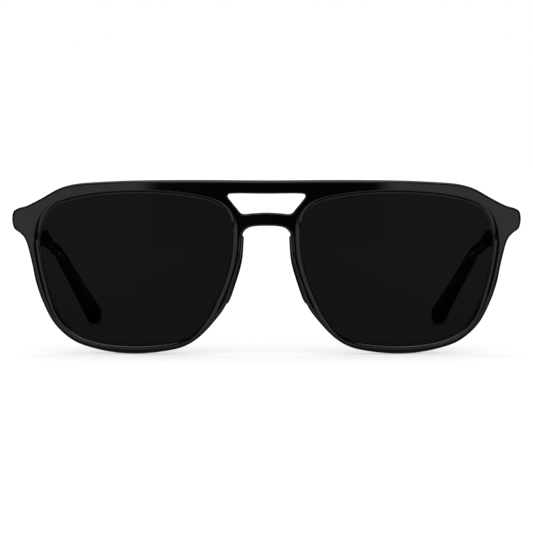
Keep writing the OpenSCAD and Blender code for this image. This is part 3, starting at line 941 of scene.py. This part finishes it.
def aim(thing, target):
    way = Vector(target) - thing.location
    thing.rotation_euler = way.to_track_quat("-Z", "Y").to_euler()


def build_camera():
    data = bpy.data.cameras.new("camera")
    camera = link("camera", data)
    camera.location = (0, FACE_Y - VIEW_DISTANCE, VIEW_HEIGHT)
    aim(camera, (0, FACE_Y, AIM_HEIGHT))
    reach = math.hypot(VIEW_DISTANCE, VIEW_HEIGHT - AIM_HEIGHT)
    data.sensor_width = SENSOR
    data.lens = SENSOR * reach / VIEW_WIDTH
    data.clip_start = 0.01
    bpy.context.scene.camera = camera


def seen_directly(tree):
    """1 for rays from the camera, from gloss and through glass, and 0 for diffuse light."""
    path = tree.nodes.new("ShaderNodeLightPath")
    total = path.outputs["Is Camera Ray"]
    for kind in ("Is Glossy Ray", "Is Transmission Ray"):
        add = tree.nodes.new("ShaderNodeMath")
        add.operation = "MAXIMUM"
        tree.links.new(total, add.inputs[0])
        tree.links.new(path.outputs[kind], add.inputs[1])
        total = add.outputs[0]
    return total


WORLD_LIGHT = 0.80        # what the white room gives as diffuse light
FLOOR_GLOW = 0.45         # the floor's own share of its white


def build_world():
    world = bpy.data.worlds.new("room")
    bpy.context.scene.world = world
    world.use_nodes = True
    tree = world.node_tree
    back = tree.nodes["Background"]
    level = tree.nodes.new("ShaderNodeMapRange")
    tree.links.new(seen_directly(tree), level.inputs["Value"])
    level.inputs["To Min"].default_value = WORLD_LIGHT
    level.inputs["To Max"].default_value = 1.0
    tree.links.new(level.outputs["Result"], back.inputs["Strength"])
    back.inputs["Color"].default_value = (1, 1, 1, 1)


def build_floor():
    """A plain white floor. Part of its white is its own, so that a soft shadow stays on it."""
    bpy.ops.mesh.primitive_plane_add(size=12)
    floor = bpy.context.object
    floor.name = "floor"
    n = Nodes("pale_floor")
    diffuse = n.add("BsdfDiffuse", {"Color": (0.8, 0.8, 0.8, 1)})
    glow = n.add("Emission", {"Color": (1, 1, 1, 1), "Strength": n.ramp(
        seen_directly(n.tree), 0, 1, 0.0, FLOOR_GLOW)})
    both = n.add("AddShader", {0: diffuse.outputs[0], 1: glow.outputs[0]})
    n.tree.links.new(both.outputs[0], n.output.inputs["Surface"])
    floor.data.materials.append(n.material)


def build_lamp():
    """A soft box overhead, which only gloss shows: the white room gives the diffuse light."""
    data = bpy.data.lights.new("top_lamp", "AREA")
    data.shape = "RECTANGLE"
    data.size, data.size_y = 0.9, 0.5
    data.energy = 2.3
    lamp = link("top_lamp", data)
    lamp.location = (0, -0.10, 0.60)
    lamp.visible_diffuse = False
    aim(lamp, (0, 0, 0))


def card(name, place, target, size, soft, dark=0.0):
    """A dark card that only reflections show. Over a width along its sides it fades away."""
    bpy.ops.mesh.primitive_plane_add(size=1)
    board = bpy.context.object
    board.name = name
    board.location = place
    aim(board, target)
    board.scale = (size[0], size[1], 1)
    n = Nodes(name)
    parts = n.add("SeparateXYZ", {0: n.place})
    fades = []
    for axis in (0, 1):
        away = n.add("Math", {0: parts.outputs[axis]}, operation="ABSOLUTE").outputs[0]
        fades.append(n.add("MapRange", {
            "Value": away, "From Min": 0.5 - soft[axis] / size[axis], "From Max": 0.5},
            interpolation_type="SMOOTHSTEP").outputs["Result"])
    fade = n.add("Math", {0: fades[0], 1: fades[1]}, operation="MAXIMUM").outputs[0]
    glow = n.add("Emission", {"Color": (1, 1, 1, 1), "Strength": dark})
    mixed = n.add("MixShader", {0: fade, 1: glow.outputs[0],
                                2: n.add("BsdfTransparent").outputs[0]})
    n.tree.links.new(mixed.outputs[0], n.output.inputs["Surface"])
    board.data.materials.append(n.material)
    board.visible_camera = False
    board.visible_diffuse = False
    board.visible_transmission = False
    board.visible_shadow = False


def standing_card(name, turn, rise, distance, size, soft):
    """A card that faces the front, turned from straight ahead and raised."""
    turn, rise = math.radians(turn), math.radians(rise)
    middle = Vector((0, FACE_Y, 0.03))
    ahead = Vector((math.sin(turn) * math.cos(rise), -math.cos(turn) * math.cos(rise),
                    math.sin(rise)))
    card(name, middle + ahead * distance, middle, size, soft)


def lying_card(name, x, y, size, soft, dark):
    """A card just above the floor, x beside the bridge and y behind it."""
    height = (0.4 + 0.1 * abs(y)) * MM
    card(name, (x, FACE_Y + y, height), (x, FACE_Y + y, 1), size, soft, dark)


# ---- The scene ----

build_camera()
build_world()
build_floor()
build_lamp()

# Dark cards, as a product photographer sets them, and one that is painted shadow on the floor round
# the foot:
# each has the width and height of the card, and how far in from its sides it fades. The room
# reflects as white between them.
standing_card("camera_card", 0, 4, 0.82, (0.68, 0.36), (0.075, 0.08))
standing_card("rear_card", 180, 8, 0.62, (1.30, 0.70), (0.15, 0.20))
for side in (-1, 1):
    standing_card("side_card", side * 112, 15, 0.45, (1.05, 0.60), (0.28, 0.10))
    standing_card("corner_card", side * 56, 46, 0.60, (0.58, 0.50), (0.08, 0.08))
lying_card("strip_card", 0, -0.45, (0.52, 0.79), (0.20, 0.07), 0.02)
lying_card("left_flank_card", 0.40, 0.08, (0.56, 0.50), (0.06, 0.08), 0.10)
lying_card("right_flank_card", -0.40, 0.08, (0.56, 0.50), (0.06, 0.08), 0.10)
# Painted shadow: this dark card just above the floor round the object's foot, which only
# reflections show, stands in for the floor's shadow there.
lying_card("painted_floor_shadow_card", 0, 0.12, (0.50, 0.30), (0.05, 0.034), 0.15)

acetate = polished_acetate("black_acetate")
pad_acetate = polished_acetate("pad_acetate")
tip_acetate = polished_acetate("tip_acetate")
lacquer = black_lacquer("satin_black_lacquer")
steel = satin_steel("satin_steel")
tint = dark_lens("dark_lens")
tint_edge = lens_edge("polished_lens_edge")

loops = [bare(loop) for loop in face_edges("front_frame")]
outer_points = with_block_ends(smooth_closed(loops[0], STEP))
outer = Edge(outer_points, hole=False)
lenses = [Edge(smooth_closed(loop, STEP), hole=True) for loop in loops[1:3]]
lenses.sort(key=lambda e: -e.points[:, 0].mean())
gap = Edge(smooth_closed(loops[3], STEP), hole=True)

front_piece = build_front((outer, gap, lenses), acetate)
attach(front_piece, "front")
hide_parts("front_frame")

for side, edge in zip(("left", "right"), lenses):
    piece = build_lens(side + "_tinted_lens", edge, [tint, tint_edge])
    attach(piece, "front")
    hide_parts(side + "_lens")

for side, name in ((1, "left"), (-1, "right")):
    pad = build_pad(name + "_saddle_pad", side, outer, pad_acetate)
    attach(pad, "front")
    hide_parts(name + "_nose_pad")
    arm = build_arm(name + "_metal_arm", side, lacquer)
    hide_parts(name + "_temple_arm")
    tip = build_tip(name + "_acetate_tip", side, tip_acetate)
    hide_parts(name + "_temple_tip")
    for piece in (arm, tip):
        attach(piece, name + "_temple")
    for part in ("front_hinge", "plate_screws", "hinge_screw", "temple_hinge", "temple_rivets"):
        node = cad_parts[name + "_" + part]
        for slot in node.material_slots:
            slot.material = steel

view = bpy.context.scene.view_settings
view.view_transform = "Standard"
